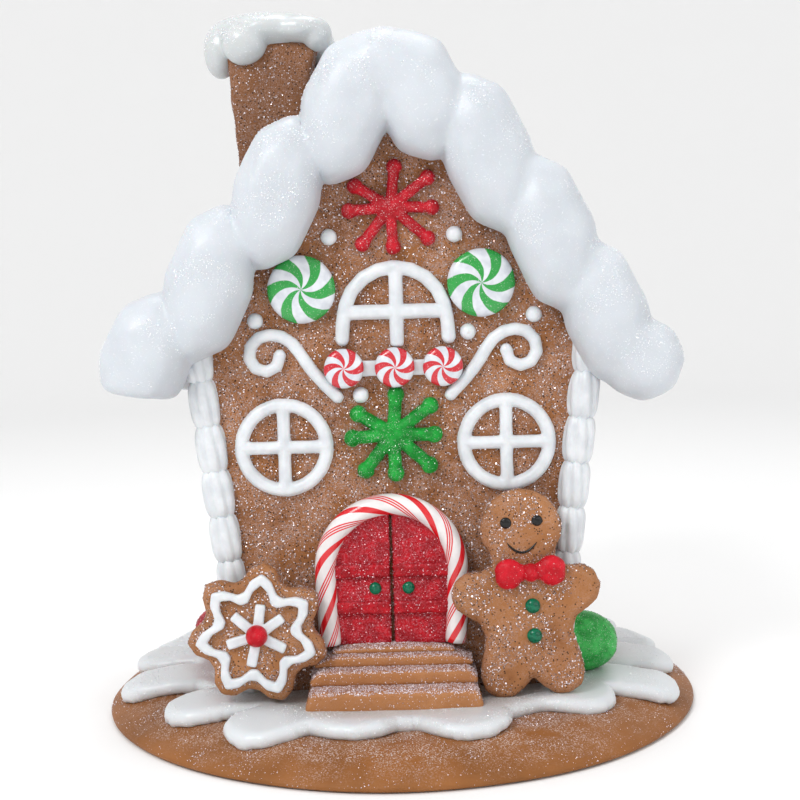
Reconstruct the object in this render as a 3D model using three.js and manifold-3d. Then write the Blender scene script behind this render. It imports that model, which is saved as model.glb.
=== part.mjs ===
// Christmas figurine of a gingerbread house on its own gingerbread base, in millimetres, +Z up.
// The origin is the centre of the base's underside and the front faces -Y.
// The house is solid: its door is moulded shut and its windows are icing lines on a solid wall.
import * as THREE from 'three';
import { mergeVertices } from 'three/addons/utils/BufferGeometryUtils.js';
import Module from 'manifold-3d';

const wasm = await Module();
wasm.setup();

// ---- driving dimensions ----
const gap = 0.3;                    // clearance between pieces that touch
const baseRadius = 110;
const baseTop = 9;
const icingTop = 12.3;              // top of the icing sheet that the house stands on
const groundZ = icingTop + gap;

const houseDepth = 84;
const frontY = -houseDepth / 2;     // plane of the front wall
const backY = houseDepth / 2;
const wallBottomHalf = 53;          // half width of the front wall at the ground
const wallLean = 0.118;             // the side walls lean outwards by this much per mm of height
const roofSlope = 1.351;            // fall of the roof per mm sideways
const gableZ = 227;                 // where the two wall slopes would meet
const panelRise = 10;               // height of the brown roof panel above the wall, measured upright
const panelRidgeZ = gableZ + 3;     // the panels' ridge is cut flat
const roofGap = gap * 1.7;          // the same clearance, measured upright on the slope
const snowRise = 17;                // height of the roof snow above the panel, measured upright
const eaveZ = 123;                  // the roof panels end at this height
const trimDepth = 19;               // thickness of the snow edging on the front and back gables
const snowCrownZ = 239.5;           // top of the roof snow, rounded over the ridge
const chimneyTop = 241;
const chimneyDepth = 28;
const chimneyBackY = 6;

const mintRadius = 11.7;            // green starlight mints
const smallMintRadius = 6.9;        // red starlight mints
const windowRadius = 16.9;
const icingLine = 2.15;             // radius of a piped icing line
const caneRadius = 3.7;
const doorBottom = 30;
const doorHalf = 17.4;
const doorX = -2.5;                 // the door, its cane and the steps sit left of the middle
const doorThickness = 3;
const beadLength = 16;
const beadRadius = 4.8;
const pipingTop = 113;              // the beads run up to the underside of the snow edging

// ---- materials ----
const matte = (color) => new THREE.MeshStandardMaterial({ color, roughness: 0.8, metalness: 0 });
const glossy = (color) => new THREE.MeshStandardMaterial({ color, roughness: 0.3, metalness: 0 });
const gingerbread = matte(0xa06c42);
const baseBrown = matte(0x9c6738);
const snow = glossy(0xe6ebee);
const icingWhite = glossy(0xf1f3f2);
const red = glossy(0xc8142a);
const green = glossy(0x2fa548);
const teal = glossy(0x067a5c);
const black = glossy(0x141414);

const group = new THREE.Group();

// ---- shape helpers ----
function add(name, geometry, material) {
  const mesh = new THREE.Mesh(geometry, material);
  mesh.name = name;
  group.add(mesh);
  return mesh;
}

function solidOf(geometry) {
  const bare = geometry.clone();
  bare.deleteAttribute('normal');
  bare.deleteAttribute('uv');
  const merged = mergeVertices(bare, 1e-4);
  return new wasm.Manifold(new wasm.Mesh({
    numProp: 3,
    vertProperties: new Float32Array(merged.attributes.position.array),
    triVerts: new Uint32Array(merged.index.array),
  }));
}

function geometryOf(solid) {
  const mesh = solid.getMesh();
  const geometry = new THREE.BufferGeometry();
  geometry.setAttribute('position', new THREE.BufferAttribute(mesh.vertProperties, mesh.numProp));
  geometry.setIndex(new THREE.BufferAttribute(mesh.triVerts, 1));
  geometry.computeVertexNormals();
  return geometry;
}

const joined = (geometries) => geometryOf(geometries.map(solidOf).reduce((all, next) => all.add(next)));
const cutBy = (geometry, tool) => geometryOf(solidOf(geometry).subtract(solidOf(tool)));

function box(x0, x1, y0, y1, z0, z1) {
  const geometry = new THREE.BoxGeometry(x1 - x0, y1 - y0, z1 - z0);
  return geometry.translate((x0 + x1) / 2, (y0 + y1) / 2, (z0 + z1) / 2);
}

function closedCurve(points, count) {
  const knots = points.map(([x, y]) => new THREE.Vector3(x, y, 0));
  const curve = new THREE.CatmullRomCurve3(knots, true, 'centripetal');
  return curve.getSpacedPoints(count).slice(0, count).map((p) => new THREE.Vector2(p.x, p.y));
}

// An upright slab: the outline is in X and Z, its back face is at yBack and it grows towards -Y.
function uprightSlab(outline, yBack, depth, bevel = 0, segments = 1) {
  const geometry = new THREE.ExtrudeGeometry(new THREE.Shape(outline), {
    depth: depth - 2 * bevel,
    steps: 1,
    bevelEnabled: bevel > 0,
    bevelThickness: bevel,
    bevelSize: bevel,
    bevelOffset: -bevel,
    bevelSegments: segments,
    curveSegments: 12,
  });
  return geometry.translate(0, 0, bevel).rotateX(Math.PI / 2).translate(0, yBack, 0);
}

// A round line of icing along a curve in the XZ plane, with ball ends, and cut flat at the wall.
function pipedLine(points, radius, sides, steps) {
  const knots = points.map(([x, z]) => new THREE.Vector3(x, frontY - radius * 0.55, z));
  const path = new THREE.CatmullRomCurve3(knots, false, 'centripetal');
  const section = new THREE.Shape();
  section.absarc(0, 0, radius, 0, 2 * Math.PI);
  const parts = [new THREE.ExtrudeGeometry(section, {
    extrudePath: path, steps, bevelEnabled: false, curveSegments: sides,
  })];
  for (const end of [knots[0], knots[knots.length - 1]]) {
    parts.push(ball(end.x, end.y, end.z, radius, 2 * sides));
  }
  return parts;
}

function onWall(geometries) {
  const behind = box(-90, 90, frontY - gap / 2, frontY + 30, 0, 240);
  return cutBy(joined(geometries), behind);
}

function ball(x, y, z, radius, sides = 10) {
  return new THREE.SphereGeometry(radius, sides, Math.max(4, sides - 3)).translate(x, y, z);
}

// ---- base and icing sheet ----
function baseGeometry() {
  const profile = [
    [0, 0], [baseRadius - 1.2, 0], [baseRadius, 1], [baseRadius - 5, 4.8],
    [baseRadius - 13, 7.5], [baseRadius - 24, baseTop], [0, baseTop],
  ];
  return turned(profile, 30);
}

function turned(profile, sides) {
  const points = profile.map(([r, z]) => new THREE.Vector2(r, z));
  return new THREE.LatheGeometry(points, sides).rotateX(Math.PI / 2);
}

// A tongue of icing that runs outwards from under the house to a round tip.
function tongueGeometry(x, y, radius, height) {
  const root = new THREE.Vector2(x * 0.35, y * 0.7);
  const tip = new THREE.Vector2(x, y);
  const heading = tip.clone().sub(root).angle();
  const shape = new THREE.Shape();
  shape.absarc(tip.x, tip.y, radius, heading - Math.PI / 2, heading + Math.PI / 2);
  shape.absarc(root.x, root.y, radius * 1.3, heading + Math.PI / 2, heading + 1.5 * Math.PI);
  return new THREE.ExtrudeGeometry(shape, { depth: height, bevelEnabled: false, curveSegments: 3 })
    .translate(0, 0, 1);
}

// The icing sheet: a round middle and overlapping tongues, draped over the rim of the base.
function icingSheetGeometry() {
  // round tips of the tongues, from the left side round the front to the right: x, y, radius
  const tips = [
    [-90, 40, 10], [-92, 13, 10.5], [-92, -20, 10.5], [-70, -53, 11], [-46, -74, 12], [-16, -69, 17],
    [21, -73, 14.5], [61, -52, 12], [87, -36, 11], [91, -5, 11], [90, 24, 10.5],
  ];
  const backTips = 6;
  for (let i = 0; i < backTips; i++) {
    const angle = THREE.MathUtils.degToRad(31 + (i * 118) / (backTips - 1));
    const reach = 89 + 2 * Math.sin(5 * i);
    tips.push([reach * Math.cos(angle), reach * Math.sin(angle), 12]);
  }
  const middle = turned([[0, 1], [78, 1], [78, icingTop], [0, icingTop]], 16);
  const tongues = tips.map(([x, y, radius]) => tongueGeometry(x, y, radius, icingTop - 1));
  const drape = turned([
    [0, 0], [baseRadius - 1, 0], [baseRadius - 1, 6.5], [baseRadius - 11, 10.8],
    [baseRadius - 26, icingTop], [0, icingTop],
  ], 15);
  const under = baseGeometry().scale(1, 1, (baseTop + gap) / baseTop);
  return geometryOf(solidOf(joined([middle, ...tongues])).intersect(solidOf(drape)).subtract(solidOf(under)));
}

// ---- house, roof, roof snow, chimney ----
const wallHalf = (z) => wallBottomHalf + wallLean * (z - icingTop);
const roofLine = (x, rise = 0) => gableZ + rise - roofSlope * Math.abs(x);
const atHeight = (z, rise = 0) => (gableZ + rise - z) / roofSlope;

function houseGeometry() {
  const eaveHalf = (gableZ - icingTop + wallBottomHalf / wallLean) / (1 / wallLean + roofSlope);
  const crownZ = gableZ - 4;
  const crownHalf = atHeight(crownZ);
  const right = [[wallHalf(groundZ), groundZ], [eaveHalf, roofLine(eaveHalf)], [crownHalf, crownZ]];
  const left = right.map(([x, z]) => [-x, z]).reverse();
  const outline = [...right, ...left].map(([x, z]) => new THREE.Vector2(x, z));
  return uprightSlab(outline, backY, houseDepth);
}

function roofPanelGeometry(side) {
  const points = [
    [gap / 2, roofLine(0, roofGap)], [atHeight(eaveZ, roofGap), eaveZ],
    [atHeight(eaveZ, panelRise), eaveZ], [atHeight(panelRidgeZ, panelRise), panelRidgeZ],
    [gap / 2, panelRidgeZ],
  ];
  const outline = points.map(([x, z]) => new THREE.Vector2(side * x, z));
  if (side < 0) outline.reverse();
  return uprightSlab(outline, backY, houseDepth);
}

function ridgeArc(half, footZ, topZ, count) {
  const sag = topZ - footZ;
  const radius = (half * half + sag * sag) / (2 * sag);
  const reach = Math.asin(half / radius);
  const points = [];
  for (let i = 0; i <= count; i++) {
    const angle = reach * (1 - (2 * i) / count);
    points.push([radius * Math.sin(angle), topZ - radius + radius * Math.cos(angle)]);
  }
  return points;
}

function roofSnowGeometry() {
  const inside = panelRise + roofGap;
  const outside = panelRise + snowRise;
  const ridgeZ = panelRidgeZ + gap;
  const lip = 7.5;
  const eaveHalf = atHeight(eaveZ - 2, inside);
  const outline = [
    ...ridgeArc(25, roofLine(25, outside), snowCrownZ, 8),
    [-atHeight(eaveZ + 6, outside), eaveZ + 6], [-eaveHalf - lip, eaveZ - 1],
    [-eaveHalf - 3, eaveZ - 4], [-eaveHalf, eaveZ - 2],
    [-atHeight(ridgeZ, inside), ridgeZ], [atHeight(ridgeZ, inside), ridgeZ],
    [eaveHalf, eaveZ - 2], [eaveHalf + 3, eaveZ - 4], [eaveHalf + lip, eaveZ - 1],
    [atHeight(eaveZ + 6, outside), eaveZ + 6],
  ];
  return uprightSlab(outline.map(([x, z]) => new THREE.Vector2(x, z)), backY, houseDepth);
}

// One lobe of snow: a puck with a flat back and a domed front, longer one way and turned by degrees.
function lobe(x, z, halfLength, halfWidth, degrees, sides) {
  const profile = [[0, 0], [0.96, 0], [1, 0.3], [0.9, 0.7], [0.55, 0.95], [0, 1]];
  const puck = new THREE.LatheGeometry(profile.map(([r, h]) => new THREE.Vector2(r, h)), sides);
  puck.rotateX(Math.PI).scale(halfLength, trimDepth, halfWidth);
  return puck.rotateY(THREE.MathUtils.degToRad(-degrees)).translate(x, 0, z);
}

// The gable trim: upright overlapping lobes down both slopes, with the left end cut off straight.
function trimGeometry(sides) {
  // x, z, half height, half width, lean from upright in degrees
  const lobes = [
    [-84.5, 131, 24, 14.8, 15], [-61.8, 156.5, 27.5, 14.4, 15], [-37.7, 186.6, 26.6, 14.4, 15],
    [-13.5, 214, 26, 14.6, 15], [0, 226.8, 13.4, 15, 0], [11.3, 217.7, 22.2, 14.8, -12],
    [33.7, 198, 28, 14.6, -15], [54.7, 170.6, 28, 14.4, -15], [73, 143, 26.5, 13.8, -15],
    [85.2, 127.4, 14, 13.6, 0],
  ];
  const cutoff = box(-60, 60, -trimDepth - 1, 1, -40, 0);
  cutoff.rotateY(THREE.MathUtils.degToRad(9)).translate(-98.6, 0, 122.3);
  const pucks = lobes.map(([x, z, high, wide, tilt]) => lobe(x, z, high, wide, 90 - tilt, sides));
  return cutBy(joined(pucks), cutoff);
}

function chimneyGeometry() {
  const snowLine = panelRise + snowRise + gap * 2;
  const outline = [
    [-56, chimneyTop], [-55, 222], [-51.5, roofLine(-51.5, snowLine)], [-31, roofLine(-31, snowLine)],
    [-24, chimneyTop],
  ].map(([x, z]) => new THREE.Vector2(x, z));
  return uprightSlab(outline, chimneyBackY, chimneyDepth, 1, 1);
}

function chimneyCapGeometry() {
  const rim = [[-62, -26], [-42, -29], [-22, -26], [-19.5, -8], [-22, 10], [-42, 13], [-62, 10], [-64.5, -8]];
  const pillow = new THREE.ExtrudeGeometry(new THREE.Shape(closedCurve(rim, 16)), {
    depth: 0.8, bevelEnabled: true, bevelThickness: 5.2, bevelSize: 6.5, bevelOffset: -6.5, bevelSegments: 2,
  }).translate(0, 0, 246.5);
  // drips hang over the brick sides: x, y, lowest z, radius
  const drips = [
    [-58.8, -12, 230, 5.4], [-49, -22.6, 233.4, 6.8], [-24.5, -21.5, 237, 4.4], [-23, 0, 234, 4.6],
    [-48, 6.5, 232, 6],
  ];
  const parts = [pillow];
  for (const [x, y, low, radius] of drips) {
    const length = 246 - low - radius;
    const drip = new THREE.CapsuleGeometry(radius, length, 2, 6).rotateX(Math.PI / 2);
    parts.push(drip.translate(x, y, low + radius + length / 2));
  }
  const core = new THREE.ExtrudeGeometry(new THREE.Shape([
    new THREE.Vector2(-56.5, 200), new THREE.Vector2(-23.5, 200),
    new THREE.Vector2(-23.5, chimneyTop + gap), new THREE.Vector2(-56.5, chimneyTop + gap),
  ]), { depth: chimneyDepth + 2 * gap, bevelEnabled: false })
    .rotateX(Math.PI / 2).translate(0, chimneyBackY + gap, 0);
  return cutBy(joined(parts), core);
}

// ---- piped corner beads ----
function cornerPipingGeometry(side, wallY) {
  const count = 7;
  const outward = wallY < 0 ? -1 : 1;
  const profile = [new THREE.Vector2(0, 0)];
  for (let i = 0; i < count; i++) {
    profile.push(new THREE.Vector2(beadRadius * 0.75, i * beadLength + 0.4));
    profile.push(new THREE.Vector2(beadRadius, i * beadLength + beadLength * 0.5));
  }
  profile.push(new THREE.Vector2(0, count * beadLength));
  const column = new THREE.LatheGeometry(profile, 6).rotateX(Math.PI / 2);
  column.rotateY(side * Math.atan(wallLean));
  column.translate(side * (wallHalf(groundZ) + 1.4), wallY + outward * 1.2, groundZ + 0.8);
  const wall = houseGeometry().scale(1 + gap / wallBottomHalf, 1 + gap / backY, 1);
  wall.translate(0, 0, -2);
  return cutBy(cutBy(column, wall), box(-90, 90, -90, 90, pipingTop, 200));
}

// ---- decorations on the front wall ----
function snowflakeGeometry(x, z, ballRadius, armRadius) {
  // the eight hand-piped arms: direction in degrees and reach
  const arms = [
    [87, 14], [39, 15.8], [-1, 14], [-43, 16], [-90, 13.5], [-133, 16.2], [184, 14.8], [150, 15],
  ];
  const y = frontY - armRadius * 0.5;
  const parts = [ball(x, y, z, armRadius * 1.25, 6)];
  for (const [degrees, reach] of arms) {
    const angle = THREE.MathUtils.degToRad(degrees);
    const arm = new THREE.CylinderGeometry(armRadius, armRadius, reach, 5);
    arm.translate(0, reach / 2, 0).rotateZ(-Math.PI / 2).rotateY(-angle).translate(x, y, z);
    parts.push(arm);
    parts.push(ball(x + reach * Math.cos(angle), y, z + reach * Math.sin(angle), ballRadius, 5));
  }
  return onWall(parts);
}

function mintGeometry(x, z, radius, height) {
  const rim = height * 0.34;
  const profile = [[0, 0], [radius * 0.94, 0], [radius, rim]];
  for (const share of [0.88, 0.5]) {
    profile.push([radius * share, rim + (height - rim) * Math.sqrt(1 - share * share)]);
  }
  profile.push([0, height]);
  const mint = new THREE.LatheGeometry(profile.map(([r, h]) => new THREE.Vector2(r, h)), 16);
  return mint.rotateX(Math.PI).translate(x, frontY - gap, z);
}

function ringWindowGeometry(x, z) {
  const middle = windowRadius - icingLine;
  const y = frontY - icingLine * 0.55;
  const ring = new THREE.TorusGeometry(middle, icingLine, 6, 16).rotateX(Math.PI / 2).translate(x, y, z);
  const bar = (turn) => new THREE.CylinderGeometry(icingLine, icingLine, 2 * middle, 6)
    .rotateZ(turn).rotateX(Math.PI / 2).translate(x, y, z);
  return onWall([ring, bar(0), bar(Math.PI / 2)]);
}

function archWindowGeometry() {
  const half = 17.8;
  const spring = 143;
  const points = [[1 - half - 0.5, 136.4]];
  for (let i = 0; i <= 6; i++) {
    const angle = Math.PI * (1 - i / 6);
    points.push([1 + half * Math.cos(angle), spring + half * Math.sin(angle)]);
  }
  points.push([1 + half + 0.5, 136.4]);
  const y = frontY - icingLine * 0.55;
  const upright = new THREE.CylinderGeometry(icingLine, icingLine, 28, 6).rotateX(Math.PI / 2);
  const across = new THREE.CylinderGeometry(icingLine, icingLine, 2 * half, 6).rotateZ(Math.PI / 2);
  return onWall([
    ...pipedLine(points, icingLine, 3, 12),
    upright.translate(1.5, y, 148),
    across.translate(1, y, 145.5),
  ]);
}

// A scroll: a straight tail that runs into a hook curling back on itself.
function scrollGeometry(side) {
  const centre = [43.5, 131.2];
  const points = [[19.5, 116.5], [27.5, 125.2]];
  const turns = 8;
  for (let i = 0; i <= turns; i++) {
    const t = i / turns;
    const angle = THREE.MathUtils.degToRad(146 - 330 * t);
    const radius = 9.4 - 4.9 * Math.sqrt(t);
    points.push([centre[0] + radius * Math.cos(angle), centre[1] + radius * Math.sin(angle)]);
  }
  return onWall(pipedLine(points.map(([x, z]) => [side * x, z]), icingLine * 0.95, 3, 15));
}

// ---- door, candy cane, steps ----
function doorLeafGeometry(side) {
  const inner = gap + 0.5;
  const archSpring = 61;
  const archTop = 73.2;
  const points = [[inner, doorBottom], [doorHalf, doorBottom], [doorHalf, archSpring]];
  for (const angle of [25, 48, 68]) {
    const turn = THREE.MathUtils.degToRad(angle);
    points.push([doorHalf * Math.cos(turn), archSpring + (archTop - archSpring) * Math.sin(turn)]);
  }
  points.push([inner, archTop]);
  const outline = points.map(([x, z]) => new THREE.Vector2(side * x, z));
  if (side < 0) outline.reverse();
  const leaf = uprightSlab(outline, frontY - gap, doorThickness);
  const ledge = (z) => box(...(side > 0 ? [inner, doorHalf - 0.5] : [0.5 - doorHalf, -inner]),
    frontY - 5.2, frontY - 2, z - 2, z + 2);
  return joined([leaf, ledge(43), ledge(56)]);
}

function caneGeometry() {
  const footZ = 30.2;
  const legHalf = 22.6;
  const spring = 57;
  const top = 79.2;
  const points = [[-legHalf + 1.2, footZ], [-legHalf - 0.2, 42]];
  for (let i = 0; i <= 8; i++) {
    const angle = Math.PI * (1 - i / 8);
    points.push([legHalf * Math.cos(angle), spring + (top - spring) * Math.sin(angle)]);
  }
  points.push([legHalf + 0.2, 42], [legHalf - 1.2, footZ]);
  const y = frontY - caneRadius - gap;
  const path = new THREE.CatmullRomCurve3(
    points.map(([x, z]) => new THREE.Vector3(x, y, z)), false, 'centripetal');
  const section = new THREE.Shape().absarc(0, 0, caneRadius, 0, 2 * Math.PI);
  return new THREE.ExtrudeGeometry(section, {
    extrudePath: path, steps: 22, bevelEnabled: false, curveSegments: 4,
  });
}

// A step: its foot is flat, and its top is level for topHalf each way and then droops to the ends.
function stepGeometry(half, topHalf, lowZ, highZ, reach) {
  const rise = highZ - lowZ;
  const shoulder = (half + topHalf) / 2;
  const right = [[half, lowZ], [half, lowZ + rise * 0.3], [shoulder, highZ - rise * 0.25], [topHalf, highZ]];
  const left = right.map(([x, z]) => [-x, z]).reverse();
  const outline = [...right, ...left].map(([x, z]) => new THREE.Vector2(x, z));
  return uprightSlab(outline, frontY - gap, reach - gap, rise * 0.12, 1).translate(doorX, 0, 0);
}

// ---- gingerbread man, built upright at the origin with its back at Y = 0 ----
const manDepth = 7;

function manGeometry() {
  const half = [
    [3.2, 3.6], [9.5, 0], [16.6, 3.6], [17, 12], [14.6, 21.5], [17.4, 28.2], [22, 29.6],
    [25.4, 36], [22, 43], [14, 43.8], [9.8, 46.6], [13.9, 57], [9.9, 67],
  ];
  const left = half.map(([x, z]) => [-x, z]).reverse();
  const outline = closedCurve([[0, 7], ...half, [0, 71], ...left], 46);
  return uprightSlab(outline, 0, manDepth, 2, 1);
}

function bowTieGeometry() {
  const wing = [
    [1.5, -2], [8, -6.2], [11.6, -4.6], [11.2, 0], [11.8, 4.4], [8, 6.2], [1.5, 2],
    [-1.5, 2], [-8, 6.2], [-11.8, 4.4], [-11.2, 0], [-11.6, -4.6], [-8, -6.2], [-1.5, -2],
  ].map(([x, z]) => new THREE.Vector2(x, z));
  const wings = uprightSlab(wing, 0, 3.4, 0.8, 1);
  const knot = ball(0, -2.6, 0, 3.3, 8);
  return cutBy(joined([wings, knot]), box(-20, 20, 0, 10, -20, 20));
}

function studGeometry(radius, height) {
  const profile = [[0, 0], [radius, height * 0.15], [radius * 0.78, height * 0.75], [0, height]];
  return new THREE.LatheGeometry(profile.map(([r, h]) => new THREE.Vector2(r, h)), 8)
    .rotateX(Math.PI);
}

// ---- star cookie, built upright round the origin with its back at Y = 0 ----
const cookieReach = 24;
const cookieDepth = 7.2;
const cookiePoints = 7;
const cookieTurn = THREE.MathUtils.degToRad(84);
const starMiddle = 15.9;
const starWave = 3.1;
const starHalfWidth = 1.65;
const outlinePoints = 5 * cookiePoints;

function lobedOutline(mean, wave, sharpness, count) {
  const points = [];
  for (let i = 0; i < count; i++) {
    const swing = Math.cos((2 * Math.PI * i * cookiePoints) / count);
    const angle = (2 * Math.PI * i) / count + cookieTurn;
    const radius = mean + wave * Math.sign(swing) * Math.pow(Math.abs(swing), sharpness);
    points.push(new THREE.Vector2(radius * Math.cos(angle), radius * Math.sin(angle)));
  }
  return points;
}

function cookieGeometry() {
  const wave = 2.9;
  return uprightSlab(lobedOutline(cookieReach - wave, wave, 0.8, outlinePoints), 0, cookieDepth, 1.6, 1);
}

function cookieStarGeometry() {
  const shape = new THREE.Shape(lobedOutline(starMiddle + starHalfWidth, starWave, 1, outlinePoints));
  shape.holes.push(new THREE.Path(lobedOutline(starMiddle - starHalfWidth, starWave, 1, outlinePoints)));
  return new THREE.ExtrudeGeometry(shape, { depth: 2.4, bevelEnabled: false }).rotateX(Math.PI / 2);
}

function cookieSpokesGeometry() {
  const height = 2;
  const parts = [new THREE.CylinderGeometry(2.6, 2.6, height, 10).translate(0, -height / 2, 0)];
  for (const degrees of [82, 34, -27, -102, -164, 139]) {
    parts.push(box(0, 10.4, -height, 0, -1.5, 1.5).rotateY(-THREE.MathUtils.degToRad(degrees)));
  }
  return joined(parts);
}

// ---- gumdrops ----
function gumdropGeometry(side, from, y, profile) {
  const drop = new THREE.LatheGeometry(profile.map(([r, h]) => new THREE.Vector2(r, h)), 14);
  return drop.rotateZ(-side * Math.PI / 2).translate(side * from, y, groundZ + 11.4);
}

// ---- assembly ----
add('base', baseGeometry(), baseBrown);
add('icing_sheet', icingSheetGeometry(), snow);
add('house', houseGeometry(), gingerbread);
add('roof_panel_left', roofPanelGeometry(-1), gingerbread);
add('roof_panel_right', roofPanelGeometry(1), gingerbread);
add('roof_snow', roofSnowGeometry(), snow);
add('roof_trim_front', trimGeometry(8).translate(0, frontY - gap, 0), snow);
add('roof_trim_back', trimGeometry(6).rotateZ(Math.PI).translate(0, backY + gap, 0), snow);
add('chimney', chimneyGeometry(), gingerbread);
add('chimney_cap', chimneyCapGeometry(), snow);

for (const [name, side] of [['left', -1], ['right', 1]]) {
  add(`corner_piping_front_${name}`, cornerPipingGeometry(side, frontY), icingWhite);
  add(`corner_piping_back_${name}`, cornerPipingGeometry(side, backY), icingWhite);
  add(`round_window_${name}`, ringWindowGeometry(side * 38.5, 99.5), icingWhite);
  add(`scroll_${name}`, scrollGeometry(side), icingWhite);
  add(`mint_green_${name}`, mintGeometry(side * 30.8, 154.3 + 0.4 * side, mintRadius, 5), green);
  add(`door_leaf_${name}`, doorLeafGeometry(side).translate(doorX, 0, 0), red);
  const knobY = frontY - doorThickness - 2 * gap;
  add(`door_knob_${name}`, studGeometry(2.2, 1.6).translate(doorX + side * 5.8, knobY, 49.6), teal);
}

add('snowflake_red', snowflakeGeometry(1, 181, 2.7, 1.9), red);
add('snowflake_green', snowflakeGeometry(0, 103, 3, 2.3), green);
add('arch_window', archWindowGeometry(), icingWhite);
add('window_sill', uprightSlab([[-13, 123.6], [13, 123.6], [13, 128.8], [-13, 128.8]]
  .map(([x, z]) => new THREE.Vector2(x, z)), frontY - gap, 1.6), icingWhite);

[-17, 0.5, 17].forEach((x, i) => {
  const mint = mintGeometry(x, 126.5, smallMintRadius, 3.6).translate(0, -1.6 - gap, 0);
  add(`mint_red_${i + 1}`, mint, red);
});

const dots = [[-21, 171.5], [22, 171.5], [-47.2, 143.4], [48.8, 143.4], [26, 138], [-11.5, 117]];
dots.forEach(([x, z], i) => {
  add(`icing_dot_${i + 1}`, studGeometry(2.8, 2.4).translate(x, frontY - gap, z), icingWhite);
});

add('candy_cane_arch', caneGeometry().translate(doorX, 0, 0), red);
// each step's half width, half width of its level top, top height and reach from the wall
const steps = [[29.5, 27, 19.4, 27], [28.2, 25, 24.2, 19], [27, 19, 27.8, 13], [21, 12, 29.8, 9]];
let stepFoot = groundZ;
steps.forEach(([half, topHalf, top, reach], i) => {
  add(`step_${i + 1}`, stepGeometry(half, topHalf, stepFoot, top, reach), gingerbread);
  stepFoot = top + gap;
});

// The man and the cookie stand on the icing and lean back on the cane and the corner beads.
function lean(x, z, backDegrees, sideDegrees) {
  const holder = new THREE.Group();
  holder.position.set(x, frontY - 11, z);
  holder.rotation.set(THREE.MathUtils.degToRad(-backDegrees), THREE.MathUtils.degToRad(-sideDegrees), 0);
  group.add(holder);
  return holder;
}

function addOn(holder, name, geometry, material, x, y, z) {
  const mesh = add(name, geometry, material);
  mesh.position.set(x, y, z);
  holder.add(mesh);
}

const man = lean(45.5, groundZ + 0.6, 3, 3.5);
const manFront = -manDepth - gap;
addOn(man, 'man', manGeometry(), gingerbread, 0, 0, 0);
addOn(man, 'man_bow_tie', bowTieGeometry(), red, 1.6, manFront, 43.5);
addOn(man, 'man_eye_1', studGeometry(1.95, 0.9), black, -5.2, manFront, 60.4);
addOn(man, 'man_eye_2', studGeometry(1.95, 0.9), black, 5.4, manFront, 60.4);
addOn(man, 'man_button_1', studGeometry(2.6, 1.8), teal, 1.6, manFront, 31.6);
addOn(man, 'man_button_2', studGeometry(2.6, 1.8), teal, 1.4, manFront, 21.4);

const cookie = lean(-48.3, groundZ + 24.9, 4, 0);
const cookieFront = -cookieDepth - gap;
addOn(cookie, 'cookie', cookieGeometry(), gingerbread, 0, 0, 0);
addOn(cookie, 'cookie_icing_star', cookieStarGeometry(), icingWhite, 0, cookieFront, 0);
addOn(cookie, 'cookie_icing_spokes', cookieSpokesGeometry(), icingWhite, 0, cookieFront, 0);
const cookieBall = cutBy(ball(0, 0, 0, 3.8, 10), box(-9, 9, 1.2, 9, -9, 9));
addOn(cookie, 'cookie_red_ball', cookieBall, red, 0, cookieFront - 2 - gap - 1.2, 0);

const dome = [[0, 0.3], [11, 0.3], [11.2, 4], [10.4, 9], [8.2, 14], [4.6, 17.6], [0, 18.6]];
const foot = [[0, 0], [10.8, 0], [11.1, 1.5], [10.8, 3], [0, 3]];
for (const [colour, side, y, material] of [['green', 1, -26, green], ['red', -1, 0, red]]) {
  add(`gumdrop_${colour}_foot`, gumdropGeometry(side, 57.2, y, foot), icingWhite);
  add(`gumdrop_${colour}`, gumdropGeometry(side, 60.2, y, dome), material);
}

export default group;
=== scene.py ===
"""Looks of the gingerbread-house figurine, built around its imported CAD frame. Metres, +Z up."""
import math

import bmesh
import bpy
import numpy as np
from mathutils import Matrix, Vector, noise


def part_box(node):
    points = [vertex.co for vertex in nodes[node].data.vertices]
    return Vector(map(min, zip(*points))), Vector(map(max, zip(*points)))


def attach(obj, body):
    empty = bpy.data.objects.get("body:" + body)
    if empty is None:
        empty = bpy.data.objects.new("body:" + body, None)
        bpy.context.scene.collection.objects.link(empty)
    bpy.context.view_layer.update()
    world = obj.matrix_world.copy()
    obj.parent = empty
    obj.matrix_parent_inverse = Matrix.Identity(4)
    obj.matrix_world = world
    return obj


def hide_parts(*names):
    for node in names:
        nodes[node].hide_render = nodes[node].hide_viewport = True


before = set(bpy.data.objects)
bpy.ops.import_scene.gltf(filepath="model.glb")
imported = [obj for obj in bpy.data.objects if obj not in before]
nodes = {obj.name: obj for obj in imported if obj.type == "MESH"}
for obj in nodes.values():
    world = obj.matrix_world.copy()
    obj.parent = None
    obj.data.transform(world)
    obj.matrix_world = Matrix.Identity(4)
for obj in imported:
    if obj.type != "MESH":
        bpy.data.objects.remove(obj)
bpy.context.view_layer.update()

MM = 0.001
# how far a sweet or a stud reaches into what it is stuck on
SUNK = 0.0003
# heights of the two raised ledges across the door
DOOR_LEDGES = (0.043, 0.056)
SIDES = ("left", "right")
shown = {}

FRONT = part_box("house")[0].y
base_low, base_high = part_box("base")
BASE_RADIUS = base_high.y
BASE_TOP = base_high.z


# ---- mesh helpers ----
def mesh_from(name, points, faces):
    mesh = bpy.data.meshes.new(name)
    mesh.from_pydata([tuple(p) for p in points], [], [tuple(f) for f in faces])
    mesh.validate()
    return mesh


def piece(name, mesh, material, replaced=(), at=None):
    """A shown piece that rides with the figurine and stands for the CAD nodes in replaced.
    Every piece is kept by name in shown."""
    obj = bpy.data.objects.new(name, mesh)
    bpy.context.scene.collection.objects.link(obj)
    if at is not None:
        obj.location = at
    mesh.materials.clear()
    mesh.materials.append(material)
    mesh.shade_smooth()
    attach(obj, "root")
    if replaced:
        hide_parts(*replaced)
    shown[name] = obj


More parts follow.
